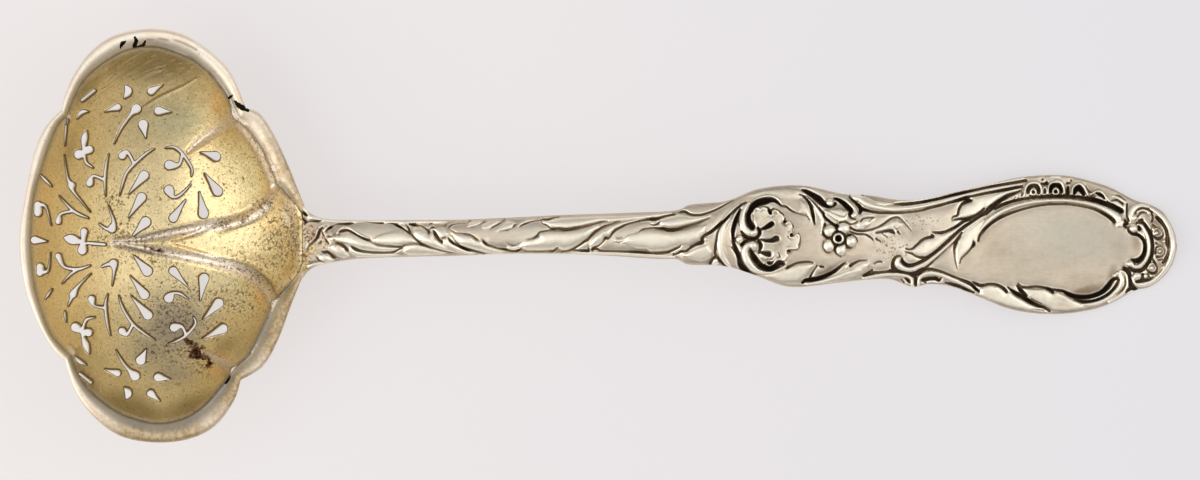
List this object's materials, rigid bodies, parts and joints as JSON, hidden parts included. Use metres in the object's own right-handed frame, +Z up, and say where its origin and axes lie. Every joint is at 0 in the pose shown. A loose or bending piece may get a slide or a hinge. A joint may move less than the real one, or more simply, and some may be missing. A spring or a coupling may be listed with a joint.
{
  "type": "sugar sifter spoon",
  "caption": "Small ladle with a pierced, lobed, gilt bowl that sifts sugar, a soldered rim and a flat struck handle with leaves, a shell, a flower and a plain scrolled cartouche.",
  "frame": {"origin": "middle of the bounding box in X and Y, on the table that the spoon lies on", "axes": "+X along the handle, away from the bowl; +Y across the spoon; +Z up, out of the open bowl"},
  "size_m": [0.1446, 0.0516, 0.0185],
  "materials": {
    "gilt_silver": "worn gilding over hammered silver, with tarnish in the hollows",
    "silver": "struck and polished silver with dark oxide in the recesses"
  },
  "bodies": {
    "root": {"bowl": "gilt_silver", "rim_band": "silver", "handle": "silver"}
  },
  "joints": []
}
